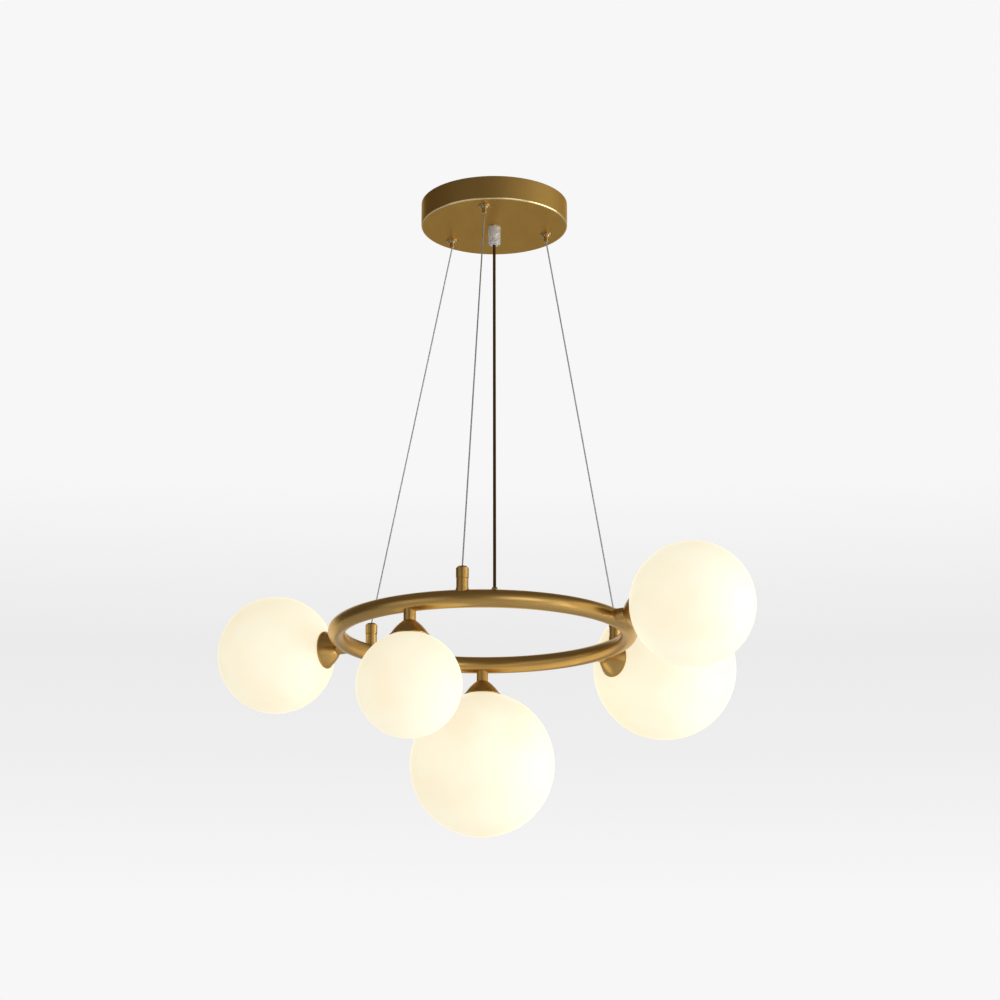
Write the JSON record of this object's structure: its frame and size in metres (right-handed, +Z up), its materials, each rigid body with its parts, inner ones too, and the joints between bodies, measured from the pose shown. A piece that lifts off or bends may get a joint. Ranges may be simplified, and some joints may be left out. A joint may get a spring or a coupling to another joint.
{
  "type": "orb chandelier",
  "caption": "Small pendant chandelier: a level brass tube ring with opal glass globes in flared cups, hung by steel cables and a cord from a round canopy.",
  "frame": {"origin": "on the ceiling, in the middle of the canopy and of the bracket's slot pattern", "axes": "+Z up to the ceiling, +Y away from the picture's viewer, +X to the viewer's right along the bracket; the lamp hangs towards -Z"},
  "size_m": [0.5387, 0.4207, 0.6407],
  "materials": {
    "satin_brass": "satin, fine turning marks, clear lacquer",
    "polished_brass": "polished",
    "zinc_steel": "zinc plated",
    "steel_cable": "bright wire rope",
    "spring_steel": "drawn wire",
    "opal_glass": "opal, acid etched outside, lit from inside",
    "clear_plastic": "clear moulded",
    "white_plastic": "moulded",
    "dark_cord": "extruded jacket",
    "lead_insulation": "extruded insulation",
    "silicone": "moulded, translucent",
    "ceramic": "unglazed steatite",
    "lamp_plastic": "frosted lamp body"
  },
  "bodies": {
    "root": {"ceiling_bracket": "zinc_steel", "side_screws": "zinc_steel", "canopy_cover": "satin_brass", "gripper_nuts": "zinc_steel", "cable_tails": "steel_cable", "cord_grip": "clear_plastic", "cord_grip_screw": "white_plastic", "cord_grip_nut": "white_plastic", "terminal_block": "white_plastic", "terminal_screws": "zinc_steel", "earth_screw": "zinc_steel", "canopy_leads": "lead_insulation", "power_cord": "dark_cord", "cable_gripper_1": "polished_brass", "cable_gripper_2": "polished_brass", "cable_gripper_3": "polished_brass", "gripper_spring_1": "spring_steel", "gripper_spring_2": "spring_steel", "gripper_spring_3": "spring_steel", "suspension_cable_1": "steel_cable", "suspension_cable_2": "steel_cable", "suspension_cable_3": "steel_cable"},
    "ring": {"ring_tube": "satin_brass", "cord_bushing": "polished_brass", "ring_wiring": "lead_insulation", "cable_posts": "satin_brass", "post_caps": "satin_brass", "cable_ends": "steel_cable", "arm_necks": "satin_brass", "arm_nipples": "zinc_steel", "arm_nuts": "zinc_steel", "globe_cup_1": "satin_brass", "globe_cup_2": "satin_brass", "globe_cup_3": "satin_brass", "globe_cup_4": "satin_brass", "globe_cup_5": "satin_brass", "lamp_holder_1": "ceramic", "lamp_holder_2": "ceramic", "lamp_holder_3": "ceramic", "lamp_holder_4": "ceramic", "lamp_holder_5": "ceramic"},
    "plunger_1": {"gripper_plunger_1": "polished_brass"},
    "plunger_2": {"gripper_plunger_2": "polished_brass"},
    "plunger_3": {"gripper_plunger_3": "polished_brass"},
    "seal_1": {"globe_seal_1": "silicone"},
    "globe_1": {"glass_globe_1": "opal_glass"},
    "bulb_1": {"led_bulb_1": "lamp_plastic"},
    "seal_2": {"globe_seal_2": "silicone"},
    "globe_2": {"glass_globe_2": "opal_glass"},
    "bulb_2": {"led_bulb_2": "lamp_plastic"},
    "seal_3": {"globe_seal_3": "silicone"},
    "globe_3": {"glass_globe_3": "opal_glass"},
    "bulb_3": {"led_bulb_3": "lamp_plastic"},
    "seal_4": {"globe_seal_4": "silicone"},
    "globe_4": {"glass_globe_4": "opal_glass"},
    "bulb_4": {"led_bulb_4": "lamp_plastic"},
    "seal_5": {"globe_seal_5": "silicone"},
    "globe_5": {"glass_globe_5": "opal_glass"},
    "bulb_5": {"led_bulb_5": "lamp_plastic"}
  },
  "joints": [
    {"name": "height_adjust", "type": "slide", "parent": "root", "child": "ring", "axis": [0, 0, 1], "range_m": [0, 0.25], "deforming": ["suspension_cable_1", "suspension_cable_2", "suspension_cable_3", "power_cord"]},
    {"name": "gripper_1_press", "type": "slide", "parent": "root", "child": "plunger_1", "axis": [0, 0, 1], "range_m": [0, 0.0025], "stiffness_N_per_m": 800, "springref_m": -0.004, "deforming": ["gripper_spring_1"]},
    {"name": "gripper_2_press", "type": "slide", "parent": "root", "child": "plunger_2", "axis": [0, 0, 1], "range_m": [0, 0.0025], "stiffness_N_per_m": 800, "springref_m": -0.004, "deforming": ["gripper_spring_2"]},
    {"name": "gripper_3_press", "type": "slide", "parent": "root", "child": "plunger_3", "axis": [0, 0, 1], "range_m": [0, 0.0025], "stiffness_N_per_m": 800, "springref_m": -0.004, "deforming": ["gripper_spring_3"]},
    {"name": "globe_1_rise", "type": "slide", "parent": "ring", "child": "seal_1", "axis": [-0.9085, 0.4179, 0], "range_m": [0, 0.00362]},
    {"name": "globe_1_unscrew", "type": "hinge", "parent": "seal_1", "child": "globe_1", "pos_m": [-0.14255, 0.05451, -0.4607], "axis": [-0.9085, 0.4179, 0], "range_deg": [0, 432]},
    {"name": "bulb_1_pull", "type": "slide", "parent": "ring", "child": "bulb_1", "axis": [-0.9085, 0.4179, 0], "range_m": [0, 0.015]},
    {"name": "globe_2_rise", "type": "slide", "parent": "ring", "child": "seal_2", "axis": [0, 0, -1], "range_m": [0, 0.00362]},
    {"name": "globe_2_unscrew", "type": "hinge", "parent": "seal_2", "child": "globe_2", "pos_m": [-0.07942, -0.13361, -0.4607], "axis": [0, 0, -1], "range_deg": [0, 432]},
    {"name": "bulb_2_pull", "type": "slide", "parent": "ring", "child": "bulb_2", "axis": [0, 0, -1], "range_m": [0, 0.015]},
    {"name": "globe_3_rise", "type": "slide", "parent": "ring", "child": "seal_3", "axis": [0, 0, -1], "range_m": [0, 0.00362]},
    {"name": "globe_3_unscrew", "type": "hinge", "parent": "seal_3", "child": "globe_3", "pos_m": [-0.01201, 0.1388, -0.4607], "axis": [0, 0, -1], "range_deg": [0, 432]},
    {"name": "bulb_3_pull", "type": "slide", "parent": "ring", "child": "bulb_3", "axis": [0, 0, -1], "range_m": [0, 0.015]},
    {"name": "globe_4_rise", "type": "slide", "parent": "ring", "child": "seal_4", "axis": [0.8462, -0.5329, 0], "range_m": [0, 0.00362]},
    {"name": "globe_4_unscrew", "type": "hinge", "parent": "seal_4", "child": "globe_4", "pos_m": [0.11153, -0.08316, -0.4607], "axis": [0.8462, -0.5329, 0], "range_deg": [0, 432]},
    {"name": "bulb_4_pull", "type": "slide", "parent": "ring", "child": "bulb_4", "axis": [0.8462, -0.5329, 0], "range_m": [0, 0.015]},
    {"name": "globe_5_rise", "type": "slide", "parent": "ring", "child": "seal_5", "axis": [0.7649, 0.6441, 0], "range_m": [0, 0.00362]},
    {"name": "globe_5_unscrew", "type": "hinge", "parent": "seal_5", "child": "globe_5", "pos_m": [0.09976, 0.08727, -0.4607], "axis": [0.7649, 0.6441, 0], "range_deg": [0, 432]},
    {"name": "bulb_5_pull", "type": "slide", "parent": "ring", "child": "bulb_5", "axis": [0.7649, 0.6441, 0], "range_m": [0, 0.015]}
  ],
  "couplings": [
    {"joint": "globe_1_rise", "follows": "globe_1_unscrew", "m_per_rad": 0.00047746},
    {"joint": "globe_2_rise", "follows": "globe_2_unscrew", "m_per_rad": 0.00047746},
    {"joint": "globe_3_rise", "follows": "globe_3_unscrew", "m_per_rad": 0.00047746},
    {"joint": "globe_4_rise", "follows": "globe_4_unscrew", "m_per_rad": 0.00047746},
    {"joint": "globe_5_rise", "follows": "globe_5_unscrew", "m_per_rad": 0.00047746}
  ]
}
